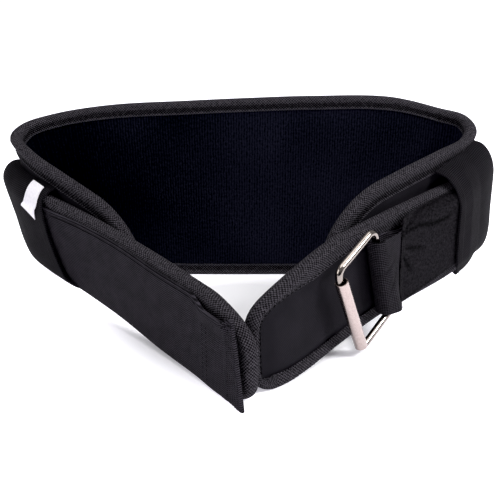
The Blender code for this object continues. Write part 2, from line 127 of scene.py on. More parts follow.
def place(s, off, z):
    """Points in metres at length s, off outside the pad's inner face, and z above the floor."""
    s, off, z = np.broadcast_arrays(*[np.asarray(v, float) for v in (s, off, z)])
    inside = np.clip(s, 0.0, COURSE_END)
    past = s - inside
    line = way(inside)
    above = z - LEAN_FROM
    x = read("x", inside) - line[..., 1] * off + line[..., 0] * past + read("lean_x", inside) * above
    y = read("y", inside) + line[..., 0] * off + line[..., 1] * past + read("lean_y", inside) * above
    return (np.stack((x, y, z), -1) + HOME) * MM


def outwards(grid):
    """Unit normals of a grid of points whose rows run along the belt and whose columns run up."""
    across = np.cross(np.gradient(grid, axis=1), np.gradient(grid, axis=0))
    return across / np.maximum(np.linalg.norm(across, axis=-1, keepdims=True), 1e-12)


def select_only(piece):
    """Makes a piece the only one selected, and the active one."""
    bpy.ops.object.select_all(action="DESELECT")
    piece.select_set(True)
    bpy.context.view_layer.objects.active = piece


def skin(name, points, map_points, faces, material, node=None):
    """Makes a mesh piece of the belt with its own map in metres, smooth but for its creases."""
    mesh = bpy.data.meshes.new(name)
    mesh.from_pydata(points.reshape(-1, 3).tolist(), [], faces)
    layer = mesh.uv_layers.new(name="map")
    corners = np.zeros(len(mesh.loops), np.int32)
    mesh.loops.foreach_get("vertex_index", corners)
    layer.data.foreach_set("uv", map_points.reshape(-1, 2)[corners].astype(np.float32).ravel())
    piece = bpy.data.objects.new(name, mesh)
    bpy.context.scene.collection.objects.link(piece)
    work = bmesh.new()
    work.from_mesh(mesh)
    bmesh.ops.recalc_face_normals(work, faces=work.faces)
    work.to_mesh(mesh)
    work.free()
    mesh.materials.append(material)
    select_only(piece)
    bpy.ops.object.shade_smooth_by_angle(angle=math.radians(50))
    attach(piece, "belt")
    if node:
        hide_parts(node)
    return piece


def ring_faces(count, wide):
    """The faces between count rings of wide points each."""
    return [(i * wide + j, i * wide + k, (i + 1) * wide + k, (i + 1) * wide + j)
            for i in range(count - 1) for j, k in zip(range(wide), [*range(1, wide), 0])]


def shell(name, middle, out, back, material, node=None):
    """A closed cloth or foam piece: out and back millimetres either side of a grid of points."""
    rows, columns = middle.shape[:2]
    normal = outwards(middle)
    front = middle + normal * (np.broadcast_to(out, (rows, columns)) * MM)[..., None]
    rear = middle - normal * (np.broadcast_to(back, (rows, columns)) * MM)[..., None]
    ring = np.concatenate([front, rear[:, ::-1]], axis=1)
    along = np.linalg.norm(np.diff(middle, axis=0), axis=-1).mean(axis=1)
    up = np.linalg.norm(np.diff(middle, axis=1), axis=-1)
    u = np.broadcast_to(np.concatenate([[0], np.cumsum(along)])[:, None], (rows, columns))
    v = np.concatenate([np.zeros((rows, 1)), np.cumsum(up, axis=1)], axis=1)
    flat = np.stack((u, v), -1)
    flat = np.concatenate([flat, flat[:, ::-1]], axis=1)
    wide = 2 * columns
    faces = ring_faces(rows, wide)
    for first in (0, (rows - 1) * wide):
        for j in range(columns - 1):
            faces.append((first + j, first + j + 1, first + wide - 2 - j, first + wide - 1 - j))
    return skin(name, ring, flat, faces, material, node)


def rounded_heights(kind, start, end, corners, s, inset):
    """The lowest and highest height of a piece with rounded corners, inset all round."""
    low, high = read(kind + "_low", s) + inset, read(kind + "_top", s) - inset
    for far, shape in ((s - start, corners[0]), (end - s, corners[1])):
        for upper, long, tall in ((True, shape.top_long, shape.top_tall),
                                  (False, shape.low_long, shape.low_tall)):
            turned = np.clip((long - far) / (long - inset), 0.0, 1.0)
            drop = (tall - inset) * (1 - np.sqrt(1 - turned**2))
            if upper:
                high = high - drop
            else:
                low = low + drop
    return low, high


def spread(start, end, step, fine=0.0):
    """Lengths from start to end about step apart, crowded within fine of both ends."""
    inner = np.linspace(start + fine, end - fine, max(2, round((end - start - 2 * fine) / step)))
    if not fine:
        return inner
    bend = fine * (1 - np.cos(np.linspace(0, math.pi / 2, max(4, round(1.7 * fine / step)))))[:-1]
    return np.concatenate([start + bend, inner, (end - bend)[::-1]])


def eased(value, start, end):
    """0 before start and 1 after end, with a soft change between."""
    t = np.clip((value - start) / (end - start), 0.0, 1.0)
    return t * t * (3 - 2 * t)


def foam_slab(name, kind, start, end, corners, inside, outside, puff, node):
    """A padded slab that thins to its edge under the tape and swells where the tape lets go."""
    inset, edge_radius, swell_from, swell_to = 2.4, 2.2, 7.5, 14.0
    s = spread(start + inset, end - inset, 3.6, fine=26.0)
    low, high = rounded_heights(kind, start, end, corners, s, inset)
    parts = np.concatenate([[0, 0.008, 0.02, 0.04], np.linspace(0.07, 0.93, 27), [0.96, 0.98, 0.992, 1]])
    z = low[:, None] + (high - low)[:, None] * parts
    from_edge = np.minimum(np.minimum(z - low[:, None], high[:, None] - z),
                           np.minimum(s - start - inset, end - inset - s)[:, None])
    round_off = np.sqrt(1 - (1 - np.clip(from_edge / edge_radius, 0, 1)) ** 2)
    half = (outside - inside) / 2
    middle = place(s[:, None], inside + half, z)
    swell = puff * eased(from_edge, swell_from, swell_to)
    return shell(name, middle, half * round_off + swell, half * round_off, nylon, node)


def linear(colour):
    """A six-figure sRGB hex colour as linear light."""
    parts = [int(colour[i:i + 2], 16) / 255 for i in (1, 3, 5)]
    return [p / 12.92 if p <= 0.04045 else ((p + 0.055) / 1.055) ** 2.4 for p in parts] + [1.0]


def new_finish(name, roughness, metallic=0.0, specular=0.12):
    """A material with its shader, whose uniform values are set on the shader itself."""
    material = bpy.data.materials.new(name)
    material.use_nodes = True
    shader = material.node_tree.nodes["Principled BSDF"]
    shader.inputs["Roughness"].default_value = roughness
    shader.inputs["Metallic"].default_value = metallic
    if not metallic:
        shader.inputs["Specular IOR Level"].default_value = specular
    return material, shader


def add_node(material, kind, inputs=(), stops=(), **settings):
    """Adds one node. inputs gives a value, another node or its output for each socket, by name or number, and
    stops gives a place and a colour for each end of a colour ramp."""
    node = material.node_tree.nodes.new("ShaderNode" + kind)
    for name, value in settings.items():
        setattr(node, name, value)
    for i, (at, colour) in enumerate(stops):
        node.color_ramp.elements[i].position = at
        node.color_ramp.elements[i].color = linear(colour)
    for socket, value in dict(inputs).items():
        value = value.outputs[0] if isinstance(value, bpy.types.Node) else value
        if isinstance(value, bpy.types.NodeSocket):
            material.node_tree.links.new(value, node.inputs[socket])
        else:
            node.inputs[socket].default_value = value
    return node


def drive(shader, colour, raised=None):
    """Links a node's colour, and a bump if there is one, to a material's shader."""
    shader.id_data.links.new(colour.outputs[0], shader.inputs["Base Color"])
    if raised is not None:
        shader.id_data.links.new(raised.outputs[0], shader.inputs["Normal"])


def ripples(material, length, pitch):
    """Even waves over a length on the map, pitch millimetres from crest to crest."""
    turns = add_node(material, "Math", {0: length, 1: 2 * math.pi / (pitch * MM)}, operation="MULTIPLY")
    return add_node(material, "Math", {0: turns}, operation="SINE")


# Plain-woven nylon, 420 denier: crossing yarns about 0.5 mm apart, drawn 1.1 mm apart so that they show
nylon, shader = new_finish("woven_nylon", 0.72, specular=0.05)
where = add_node(nylon, "UVMap", uv_map="map")
split = add_node(nylon, "SeparateXYZ", {0: where})
warp = ripples(nylon, split.outputs[0], 1.1)
weft = ripples(nylon, split.outputs[1], 1.1)
yarns = add_node(nylon, "Math", {0: warp, 1: weft}, operation="MULTIPLY")
cloud = add_node(nylon, "TexNoise", {"Vector": where, "Scale": 42.0, "Detail": 3.0})
mixed = add_node(nylon, "Math", {0: yarns, 1: 0.22, 2: cloud}, operation="MULTIPLY_ADD")
shades = add_node(nylon, "ValToRGB", {0: mixed}, stops=((0.2, "#0e0d11"), (0.85, "#1b191e")))
raised = add_node(nylon, "Bump", {"Height": yarns, "Strength": 0.35, "Distance": 0.0002})
drive(shader, shades, raised)

back_panel = foam_slab("back_panel_foam", "panel", PANEL_START, PANEL_END, PANEL_CORNERS,
                       PANEL_IN + 3.0, PANEL_OUT - 1.7, 0.5, "back_panel")

# Back lining. A sheet of soft rib knit, black with a blue cast, laid over the panel's inner face and caught
# under the tape all round.

# Brushed rib knit: ribs about 1 mm apart, drawn 2.1 mm apart so that they show. Painted shade darkens the
# cloth towards the left bend
lining, shader = new_finish("rib_knit", 0.95, specular=0.04)
where = add_node(lining, "UVMap", uv_map="map")
split = add_node(lining, "SeparateXYZ", {0: where})
wander = add_node(lining, "TexNoise", {"Vector": where, "Scale": 160.0, "Detail": 2.0})
bent = add_node(lining, "Math", {0: wander, 1: 0.0016, 2: split.outputs[0]}, operation="MULTIPLY_ADD")
ribs = ripples(lining, bent, 2.1)
grain = add_node(lining, "TexNoise", {"Vector": where, "Scale": 480.0, "Detail": 3.0, "Roughness": 0.9})
mixed = add_node(lining, "Math", {0: ribs, 1: 0.1, 2: grain}, operation="MULTIPLY_ADD")
cloud = add_node(lining, "TexNoise", {"Vector": where, "Scale": 11.0, "Detail": 2.0})
mixed = add_node(lining, "Math", {0: cloud, 1: 0.35, 2: mixed}, operation="MULTIPLY_ADD")
# Painted shade: the cloth is darker towards the left bend
painted_left_shade = add_node(lining, "MapRange", {"Value": split.outputs[0], "From Min": 0.11, "From Max": 0.33,
                                    "To Min": -0.42, "To Max": -0.16})
mixed = add_node(lining, "Math", {0: mixed, 1: painted_left_shade}, operation="ADD")
shades = add_node(lining, "ValToRGB", {0: mixed}, stops=((0.36, "#000104"), (0.84, "#1d1d2b")))
raised = add_node(lining, "Bump", {"Height": mixed, "Strength": 0.5, "Distance": 0.0004})
drive(shader, shades, raised)

inset = 3.4
s = spread(PANEL_START + inset, PANEL_END - inset, 4.0, fine=26.0)
low, high = rounded_heights("panel", PANEL_START, PANEL_END, PANEL_CORNERS, s, inset)
parts = np.linspace(0, 1, 31)
z = low[:, None] + (high - low)[:, None] * parts
ripple = 0.35 * np.sin(s[:, None] / 37.0 + z / 21.0) * np.sin(z / 33.0)
back_lining = shell("back_lining_sheet", place(s[:, None], PANEL_IN + 2.2 - ripple, z), 0.5, 0.5, lining,
                    "back_lining")

# Panel binding. Twill tape folded over the panel's edge and sewn through both faces, drawn into a round roll
# at the edge, with a flap down each face.
TURN, PROUD = 4.4, 0.8  # the roll starts TURN in from the edge, and stands PROUD of it
CREST, FLAP_END = 10, 22  # the profile's points at the roll's crest and at the outer flap's end, by number


def tape_profile(inside, outside, flap_in, flap_out, sunk):
    """The tape's cross-section as (offset, how far in from the edge), round the roll and back inside it. The
    flaps lie sunk millimetres below the roll's sides, with a crease between."""
    middle, half = (inside + outside) / 2, (outside - inside) / 2
    inner, outer = inside + sunk, outside - sunk
    profile = [(inner - 0.2, flap_in), (inner - 0.25, flap_in - 0.8), (inner + 0.1, flap_in - 1.6),
               (inner + 0.2, TURN + 2.0), (inside + 0.6 * sunk + 0.1, TURN + 1.1)]
    for i in range(1, 14):
        angle = math.radians(180 * i / 14)
        across = math.copysign(abs(math.cos(angle)) ** 0.8, math.cos(angle))
        profile.append((middle - half * across, TURN - (TURN + PROUD) * math.sin(angle) ** 0.8))
    profile += [(outside - 0.6 * sunk - 0.1, TURN + 1.1), (outer - 0.2, TURN + 2.0),
                (outer - 0.1, flap_out - 1.6), (outer + 0.25, flap_out - 0.8), (outer + 0.2, flap_out),
                (outer - 0.3, flap_out + 0.25), (outer - 0.6, flap_out - 0.1), (outer - 0.9, TURN + 1),
                (middle, 2.4), (inner + 0.9, TURN + 1), (inner + 0.6, flap_in - 0.1),
                (inner + 0.3, flap_in + 0.25)]
    return np.array(profile)


def round_edge(kind, start, end, corners):
    """Points round a piece's whole edge: length, height, and the direction that points into the piece."""
    found = []
    angles = np.radians(np.linspace(0, 90, 15))

    def turn(end_at, inwards, long, tall, upper, order):
        for angle in order:
            s = end_at + inwards * long * (1 - math.sin(angle))
            drop = tall * (1 - math.cos(angle))
            z = read(kind + "_top", s) - drop if upper else read(kind + "_low", s) + drop
            found.append((s, z, math.sin(angle) * inwards, math.cos(angle) * (-1 if upper else 1)))

    first, last = corners
    turn(start, 1, first.low_long, first.low_tall, False, angles[::-1])
    for s in spread(start + first.low_long, end - last.low_long, 4.0)[1:-1]:
        found.append((s, read(kind + "_low", s), 0.0, 1.0))
    turn(end, -1, last.low_long, last.low_tall, False, angles)
    turn(end, -1, last.top_long, last.top_tall, True, angles[::-1])
    for s in spread(start + first.top_long, end - last.top_long, 4.0)[1:-1][::-1]:
        found.append((s, read(kind + "_top", s), 0.0, -1.0))
    turn(start, 1, first.top_long, first.top_tall, True, angles)
    return np.array(found)


def drawn_in(off, s):
    """The pad's outer face draws in 1.2 mm at the belt's left end, over its first 36 mm."""
    return np.where(off > 6.0, off - 1.2 * np.clip(1.4 - 1.4 * s / 36.0, 0, 1), off)


def binding(name, edge, profile, node, narrow=0.0, turned_under=0.0):
    """Skins the tape's cross-section round an edge. narrow is the share of the outer flap that is lost where
    the tape is pulled round the right end, and turned_under is how much selvedge is folded out of sight."""
    s, z, across, up = [edge[:, i:i + 1] for i in range(4)]
    off, deep = profile[None, :, 0], profile[None, :, 1]
    pulled = 1 - narrow * eased(-across, 0.35, 0.9)
    outer_flap = (off > (off.min() + off.max()) / 2) & (deep > TURN)
    deep = np.where(outer_flap, TURN + (deep - TURN) * pulled, deep)
    points = place(s + deep * across, drawn_in(off + 0 * s, s), z + deep * up)
    count, wide = points.shape[:2]
    round_way = np.linalg.norm(np.diff(points[:, CREST], axis=0, append=points[:1, CREST]), axis=1)
    u = np.concatenate([[0], np.cumsum(round_way)])
    # The map runs in from both selvedges, and meets on the roll
    v = np.concatenate([[0], np.cumsum(np.linalg.norm(np.diff(profile, axis=0), axis=1))]) * MM
    v = np.minimum(v, np.abs(v[FLAP_END] - v)) + turned_under * MM
    flat = np.stack(np.broadcast_arrays(u[:, None], v[None, :]), -1)
    points = np.concatenate([points, points[:1]])
    piece = skin(name, points, flat, ring_faces(count + 1, wide), tape, node)
    work = bmesh.new()
    work.from_mesh(piece.data)
    bmesh.ops.remove_doubles(work, verts=work.verts, dist=1e-6)
    bmesh.ops.recalc_face_normals(work, faces=work.faces)
    work.to_mesh(piece.data)
    work.free()


# Nylon twill tape: ribs about 1 mm apart that cross in a small diamond, drawn 1.5 mm apart (2.2 mm along the
# tape) so that they show. A painted highlight lightens its selvedge, and painted shade darkens the line of
# the seam beside it
tape, shader = new_finish("twill_tape", 0.8, specular=0.05)
where = add_node(tape, "UVMap", uv_map="map")
split = add_node(tape, "SeparateXYZ", {0: where})
slope = add_node(tape, "Math", {0: split.outputs[1], 1: split.outputs[0]}, operation="ADD")
slope = ripples(tape, slope, 2.2)
cross = add_node(tape, "Math", {0: split.outputs[0], 1: split.outputs[1]}, operation="SUBTRACT")
cross = ripples(tape, cross, 2.2)
twill = add_node(tape, "Math", {0: cross, 1: slope}, operation="ADD")
cloud = add_node(tape, "TexNoise", {"Vector": where, "Scale": 420.0, "Detail": 2.0})
mixed = add_node(tape, "Math", {0: twill, 1: 0.23, 2: cloud}, operation="MULTIPLY_ADD")
# A painted highlight along the selvedge, where its edge catches the light
selvedge = add_node(tape, "MapRange", {"Value": split.outputs[1], "From Min": 0.0011, "From Max": 0.0017,
                                       "To Min": 0.32, "To Max": 0.0})
# Painted shade along the line of the seam
painted_seam_shade = add_node(tape, "MapRange", {"Value": split.outputs[1], "From Min": 0.0046, "From Max": 0.0062,
                                   "To Min": -0.3, "To Max": 0.0})
mixed = add_node(tape, "Math", {0: mixed, 1: selvedge}, operation="ADD")
mixed = add_node(tape, "Math", {0: mixed, 1: painted_seam_shade}, operation="ADD")
shades = add_node(tape, "ValToRGB", {0: mixed}, stops=((0.2, "#050407"), (0.85, "#48454b")))
raised = add_node(tape, "Bump", {"Height": twill, "Strength": 0.9, "Distance": 0.0004})
drive(shader, shades, raised)

panel_edge = round_edge("panel", PANEL_START, PANEL_END, PANEL_CORNERS)
panel_profile = tape_profile(PANEL_IN, PANEL_OUT, flap_in=9.4, flap_out=12.5, sunk=1.1)
binding("panel_binding_tape", panel_edge, panel_profile, "panel_binding")

# Stitching. Bonded nylon thread in lockstitch, about four to the centimetre, sunk a little into the cloth.
# A stitch is a low spindle: four faces above and four below, between its two ends, two sides, crown and root.
SPINDLE = ((0, 2, 4), (2, 1, 4), (1, 3, 4), (3, 0, 4), (2, 0, 5), (1, 2, 5), (3, 1, 5), (0, 3, 5))


def bonded_thread(name, specular, dark, light):
    """Bonded nylon thread, whose twist shows as a fine uneven grain."""
    material, shader = new_finish(name, 0.7, specular=specular)
    where = add_node(material, "TexCoord")
    wound = add_node(material, "TexNoise", {"Vector": where.outputs["Object"], "Scale": 900.0})
    shades = add_node(material, "ValToRGB", {0: wound}, stops=((0, dark), (1, light)))
    drive(shader, shades)
    return material


def stitches(name, runs, material, long=2.7, gap=1.1, wide=0.75, high=0.4, root=0.3):
    """Stitches along lines of points, each line given with its outward normals, joined as one piece."""
    corners, faces = [], []
    for points, normals in runs:
        steps = np.linalg.norm(np.diff(points, axis=0), axis=1)
        run = np.concatenate([[0], np.cumsum(steps)])
        for at in np.arange(long * MM, run[-1] - long * MM, (long + gap) * MM):
            here = np.array([np.interp(at, run, points[:, i]) for i in range(3)])
            ahead = np.array([np.interp(at + 0.5 * MM, run, points[:, i]) for i in range(3)])
            out = np.array([np.interp(at, run, normals[:, i]) for i in range(3)])
            line = (ahead - here) / np.linalg.norm(ahead - here)
            out = out - line * (out @ line)
            out = out / np.linalg.norm(out)
            side = np.cross(out, line)
            n = len(corners)
            long_way, wide_way = line * long / 2 * MM, side * wide / 2 * MM
            corners += [here + long_way, here - long_way, here + wide_way, here - wide_way,
                        here + out * high * MM, here - out * root * MM]
            faces += [(n + a, n + b, n + c) for a, b, c in SPINDLE]
    points = np.array(corners)
    skin(name, points, points[:, :2], faces, material)


def wall_run(s, off, z, inwards=False):
    """A line of points on the wall with the wall's outward normals."""
    points = place(s, off, z)
    line = way(np.clip(s, 0, COURSE_END))
    normals = np.stack((-line[..., 1], line[..., 0], 0 * line[..., 0]), -1)
    return points, -normals if inwards else normals


def edge_run(edge, deep, off, inwards=False):
    """A line of stitches that follows a piece's edge all round, deep millimetres in from it."""
    s, z, across, up = edge.T
    return wall_run(s + deep * across, off, z + deep * up, inwards)


thread = bonded_thread("black_thread", 0.03, "#020202", "#0f0e11")
hem_thread = bonded_thread("grey_thread", 0.05, "#18181f", "#34343f")
stitches("panel_stitching", [edge_run(panel_edge, 10.0, PANEL_OUT - 1.1)], thread)
stitches("panel_hem_stitching", [edge_run(panel_edge, 8.9, PANEL_IN + 0.85, True)], hem_thread)

# Padded belt. A narrower foam belt in the same nylon that runs round the outside of the panel. Its right end
# is a wide rounded tongue that swells a little inside its tape.
PAD_THICK = 12.0
PAD_CORNERS = (Corner(45, 27, 14, 12), Corner(75, 29, 16, 16))
belt_pad = foam_slab("belt_pad_foam", "pad", 0.0, COURSE_END, PAD_CORNERS, 1.7, PAD_THICK - 1.9, 0.8,
                     "belt_pad")

pad_edge = round_edge("pad", 0.0, COURSE_END, PAD_CORNERS)
pad_profile = tape_profile(0.0, PAD_THICK, flap_in=9.5, flap_out=10.5, sunk=0.5)
PULLED = 0.8
binding("pad_binding_tape", pad_edge, pad_profile, "pad_binding", narrow=PULLED, turned_under=5.5)
sewn_in = TURN + 4.8 * (1 - PULLED * eased(-pad_edge[:, 2], 0.35, 0.9))
stitches("pad_stitching", [edge_run(pad_edge, sewn_in, PAD_THICK - 0.4), edge_run(pad_edge, 8.4, 0.4, True)],
         thread, long=2.3, gap=1.5, wide=1.05, high=0.45)

# Webbing strap. Two-inch nylon webbing with lengthwise ribs: a hemmed free tail on the left, round the back
# under both keepers, folded round the buckle's bar and sewn back on itself.
WEB_WIDE, WEB_THICK = 56.0, 2.0
WEB_MID = PAD_THICK + 0.3 + WEB_THICK / 2
RETURN_MID = WEB_MID + WEB_THICK + 0.3
RETURN_END, FOLD_START = 689.0, 759.5
FOLD_NOSE = (783.0, 799.3)  # how far along the belt the fold reaches, at the strap's foot and at its top
FOLD_OUT = 24.5
BAR_FOOT = (768.8, 19.4, 21.9)  # the lower end of the buckle's bar in the fold, as place() takes it
BUCKLE_DIP = math.radians(24.4)
SEAM_PART = 0.946  # where the seam runs, as a part of the strap's width
web_parts = np.concatenate([[0, 0.008, 0.02], np.linspace(0.045, 0.925, 32),
                            [0.938, SEAM_PART, 0.954, 0.967, 0.98, 0.992, 1]])
WEB_STEP, FOLD_ROWS = 3.6, 55  # rows WEB_STEP apart along the strap, and how many of the fold's face out


def strap_columns():
    """The strap's middle surface as rows of (length, offset, height), from its tail to its sewn-back end."""
    columns = []
    straight = np.concatenate([np.arange(0, 17, 0.7), spread(17.0, FOLD_START, WEB_STEP)[:-1]])
    homeward = spread(RETURN_END, FOLD_START - 3.0, WEB_STEP)[::-1]
    for part in web_parts:
        slant = (9.0 * part - 2.5) * np.clip(1 - straight / 30, 0, 1)
        # The tail's upper edge has come unsewn: it sags and hangs away from the pad, as the hem below it does
        torn = eased(-straight, -54, -30) * eased(straight, 3, 13) * eased(part, 0.7, 1.0)
        loose = 2.6 * torn + 2.6 * eased(-straight, -16, 0)
        z = read("web_low", straight) + WEB_WIDE * part - 4.0 * torn
        run = [np.stack((straight + slant, WEB_MID + loose + 0 * straight, z), -1)]
        nose = FOLD_NOSE[0] + (FOLD_NOSE[1] - FOLD_NOSE[0]) * part
        bar = BAR_FOOT[0] + WEB_WIDE * math.tan(BUCKLE_DIP) * part
        half = (FOLD_OUT - WEB_MID) / 2
        fold = [(FOLD_START, WEB_MID), (FOLD_START + 12, WEB_MID), (nose - half, WEB_MID)]
        for i in range(1, 6):
            angle = math.radians(-90 + 30 * i)
            fold.append((nose - half * (1 - math.cos(angle)), WEB_MID + half * (1 + math.sin(angle))))
        fold += [(nose - half - 2, FOLD_OUT), (bar - 3.0, FOLD_OUT - 0.4),
                 (FOLD_START + 1.5 + 3.0 * part, RETURN_MID + 2.2), (FOLD_START - 2.0, RETURN_MID)]
        fold = smooth_line(fold, 7, 2)
        lifted = 1.6 * np.clip((fold[:, 0] - FOLD_START) / 25, 0, 1)
        z = read("web_low", np.minimum(fold[:, 0], FOLD_START)) + WEB_WIDE * part + lifted
        run.append(np.stack((fold[:, 0], fold[:, 1], z), -1))
        z = read("web_low", homeward) + WEB_WIDE * part
        run.append(np.stack((homeward, RETURN_MID + 0 * homeward, z), -1))
        columns.append(np.concatenate(run))
    return np.stack(columns, 1)


strap = strap_columns()
web_at = strap[..., 0]
folded = np.arange(len(strap)) > len(strap) - len(spread(RETURN_END, FOLD_START - 3.0, WEB_STEP)) - FOLD_ROWS
folded_back, outer_run = folded[:, None], ~folded[:, None]
CREASED_FROM, SHADED_FROM = 758.0, 745.0
CREASE_HEART = (766.0, 0.8)  # the point that the creases fan from: along the belt, and part of the width


def creases(s, part):
    """How deep the creases go that fan down from the top of the strap's fold, over the fold and the patch."""
    ahead, down = s - CREASE_HEART[0], (CREASE_HEART[1] - part) * WEB_WIDE
    far = np.hypot(ahead, down)
    fan = np.clip(np.cos(11 * np.arctan2(ahead, down) + 0.6), 0, 1) ** 3
    return 0.75 * fan * eased(far, 4, 12) * eased(-far, -38, -16) * eased(down, 0, 8)


crease = np.where(folded_back & (web_at > CREASED_FROM), creases(web_at, web_parts[None, :]), 0.0)
strap_middle = place(web_at, strap[..., 1] - crease, strap[..., 2])
edge_round = np.sqrt(1 - (1 - np.clip(np.minimum(web_parts, 1 - web_parts) * WEB_WIDE / 1.1, 0, 1)) ** 2)
# Rows of stitches draw the hem into ridges 2.8 mm apart, and the seam along the top edge lies in a groove
hem = 0.7 * eased(-web_at, -17, -15.5) * outer_run
ridged = np.sin(web_at * 2 * math.pi / 2.8) > 0.3
hem = hem - 0.35 * ridged * eased(-web_at, -13.5, -12.5) * outer_run
groove = 0.7 * (np.abs(web_parts - SEAM_PART) < 0.001)[None, :] * eased(-web_at, -215, -205) * outer_run
strap_out = (WEB_THICK / 2) * (0.35 + 0.65 * edge_round)[None, :] + hem - groove


def darken(piece, amount):
    """Stores painted shade: how much darker each point of a shell is, on both faces, which its material
    reads.
    """
    amount = np.concatenate([amount, amount[:, ::-1]], axis=1).astype(np.float32)
    piece.data.attributes.new("darker", "FLOAT", "POINT").data.foreach_set("value", amount.ravel())


# Nylon webbing: ribs along the strap 1.4 mm apart, crossed by picks that are 0.7 mm apart and drawn 1.3 mm
# apart so that they show. Painted shade darkens it in the creases, in the seam's groove, at the fold and on
# the keeper loops
webbing, shader = new_finish("ribbed_webbing", 0.7, specular=0.04)
where = add_node(webbing, "UVMap", uv_map="map")
split = add_node(webbing, "SeparateXYZ", {0: where})
ribs = ripples(webbing, split.outputs[1], 1.4)
picks = ripples(webbing, split.outputs[0], 1.3)
weave = add_node(webbing, "Math", {0: picks, 1: 0.6, 2: ribs}, operation="MULTIPLY_ADD")
cloud = add_node(webbing, "TexNoise", {"Vector": where, "Scale": 90.0, "Detail": 9.0, "Roughness": 0.75})
mixed = add_node(webbing, "Math", {0: weave, 1: 0.4, 2: cloud}, operation="MULTIPLY_ADD")
shades = add_node(webbing, "ValToRGB", {0: mixed}, stops=((0.2, "#050406"), (0.9, "#38353c")))
# The darker attribute holds painted shade, which scales the colour down
darker = add_node(webbing, "Attribute", attribute_name="darker")
kept = add_node(webbing, "Math", {0: darker.outputs["Fac"], 1: -0.6, 2: 1.0}, operation="MULTIPLY_ADD")
painted_shade_colour = add_node(webbing, "VectorMath", {0: shades, "Scale": kept}, operation="SCALE")
raised = add_node(webbing, "Bump", {"Height": weave, "Strength": 1.0, "Distance": 0.0004})
drive(shader, painted_shade_colour, raised)

strap_piece = shell("webbing_strap", strap_middle, strap_out, WEB_THICK / 2, webbing, "webbing")
# Painted shade in the creases, in the seam's groove and over the fold
darken(strap_piece, crease + groove + 0.45 * (folded_back & (web_at > SHADED_FROM)))

# One seam along the top edge, four rows across the hem that lean as the tail's end does, and two beyond it
along = spread(3.0, 205.0, 4.0)
runs = [wall_run(along, WEB_MID + 0.75, read("web_low", along) + WEB_WIDE - 3.0)]
up = np.linspace(2.5, WEB_WIDE - 3.0, 24)
for far in (3.5, 6.5, 9.5, 13.5, 33.0, 37.5):
    leaning = 5.0 * (up / WEB_WIDE - 0.5) * max(0.0, 1 - far / 16)
    off = WEB_MID + (1.75 if far < 15 else 1.05)
    runs.append(wall_run(far + leaning, off, read("web_low", far) + up))
stitches("strap_stitching", runs, thread, long=2.2, gap=1.0, wide=0.65, high=0.3)

# Pile patch. The soft, looped half of a hook-and-loop fastening, sewn over the strap's return and the pad
# above it. The loops are brushed and stand up in all directions.
PATCH_HALF = 0.6
PATCH_MID = RETURN_MID + WEB_THICK / 2 + 0.3 + PATCH_HALF
PATCH_END = FOLD_START + 4.5
PATCH_INSET = 1.8
pile_s = spread(RETURN_END + 1.0, PATCH_END, 1.6)
outer_layer = strap[folded][::-1]
column_grid = []
for s in pile_s:
    web_low, pad_top = float(read("web_low", min(s, FOLD_START))), float(read("pad_top", s))
    web_top, flat = web_low + WEB_WIDE, PAD_THICK + 0.9
    # The patch's upper corner is tucked in where the strap's fold starts
    tucked = float(eased(s, 736, 763))
    line = []
    for part in (0.02, 0.25, 0.5, 0.75, 0.97):
        column = outer_layer[:, int(part * (len(web_parts) - 1))]
        under = float(np.interp(s, column[:, 0], column[:, 1]))
        line.append((web_low + WEB_WIDE * part, under + PATCH_MID - RETURN_MID))
    lift = line[-1][1]
    room = (pad_top - PATCH_INSET - web_top) * (1 - 0.85 * tucked)
    flat = flat + (lift - flat) * tucked
    line += [(web_top + 0.35 * room, (lift + flat) / 2), (web_top + 0.7 * room, flat),
             (pad_top - PATCH_INSET, flat)]
    column_grid.append(smooth_line(line, 7, 2))
column_grid = np.array(column_grid)
chance = np.random.default_rng(11)
rough = chance.normal(0, 0.16, column_grid.shape[:2])
# A shallow fold across the patch, and creases that run in from the buckle's fold
across = np.linspace(0, 1, column_grid.shape[1])[None, :]
along = ((pile_s - RETURN_END) / (FOLD_START - RETURN_END))[:, None]
fold_line = 0.52 - 0.05 * np.sin(5 * along)
patch_crease = 0.7 * np.exp(-((across - fold_line) / 0.016) ** 2) * eased(along, 0.1, 0.4)
patch_parts = (column_grid[..., 0] - column_grid[:, :1, 0]) / WEB_WIDE
patch_crease = patch_crease + creases(pile_s[:, None], patch_parts)
rough = rough - patch_crease
patch_middle = place(pile_s[:, None], column_grid[..., 1], column_grid[..., 0])

patch_along = spread(RETURN_END + 14.0, FOLD_START - 3.0, 3.0)
stitches("patch_stitching", [
    wall_run(patch_along, PAD_THICK + 1.7, read("pad_top", patch_along) - 4.2),
    wall_run(patch_along, PATCH_MID + 0.85, read("web_low", patch_along) + 3.0),
], thread, wide=0.9)

# Brushed nylon loop pile: no thread shows, only clumps of loops about 2 mm across, dull and soft
pile, shader = new_finish("brushed_loop_pile", 0.95, specular=0.05)
where = add_node(pile, "UVMap", uv_map="map")
clumps = add_node(pile, "TexNoise", {"Vector": where, "Scale": 520.0, "Detail": 4.0, "Roughness": 0.8})
# The darker attribute holds painted shade along the patch's fold and creases
darker = add_node(pile, "Attribute", attribute_name="darker")
mixed = add_node(pile, "Math", {0: darker.outputs["Fac"], 1: -0.3, 2: clumps}, operation="MULTIPLY_ADD")
shades = add_node(pile, "ValToRGB", {0: mixed}, stops=((0.37, "#020203"), (0.67, "#242226")))
raised = add_node(pile, "Bump", {"Height": clumps, "Strength": 0.9, "Distance": 0.0008})
drive(shader, shades, raised)

# The patch thins at its front edge, where it meets the fold
patch_out = PATCH_HALF + rough - 0.5 * eased(pile_s, FOLD_START, PATCH_END)[:, None]
pile_patch = shell("pile_patch_cloth", patch_middle, patch_out, PATCH_HALF, pile, "pile_patch")
# Painted shade along the patch's fold and creases
darken(pile_patch, patch_crease)

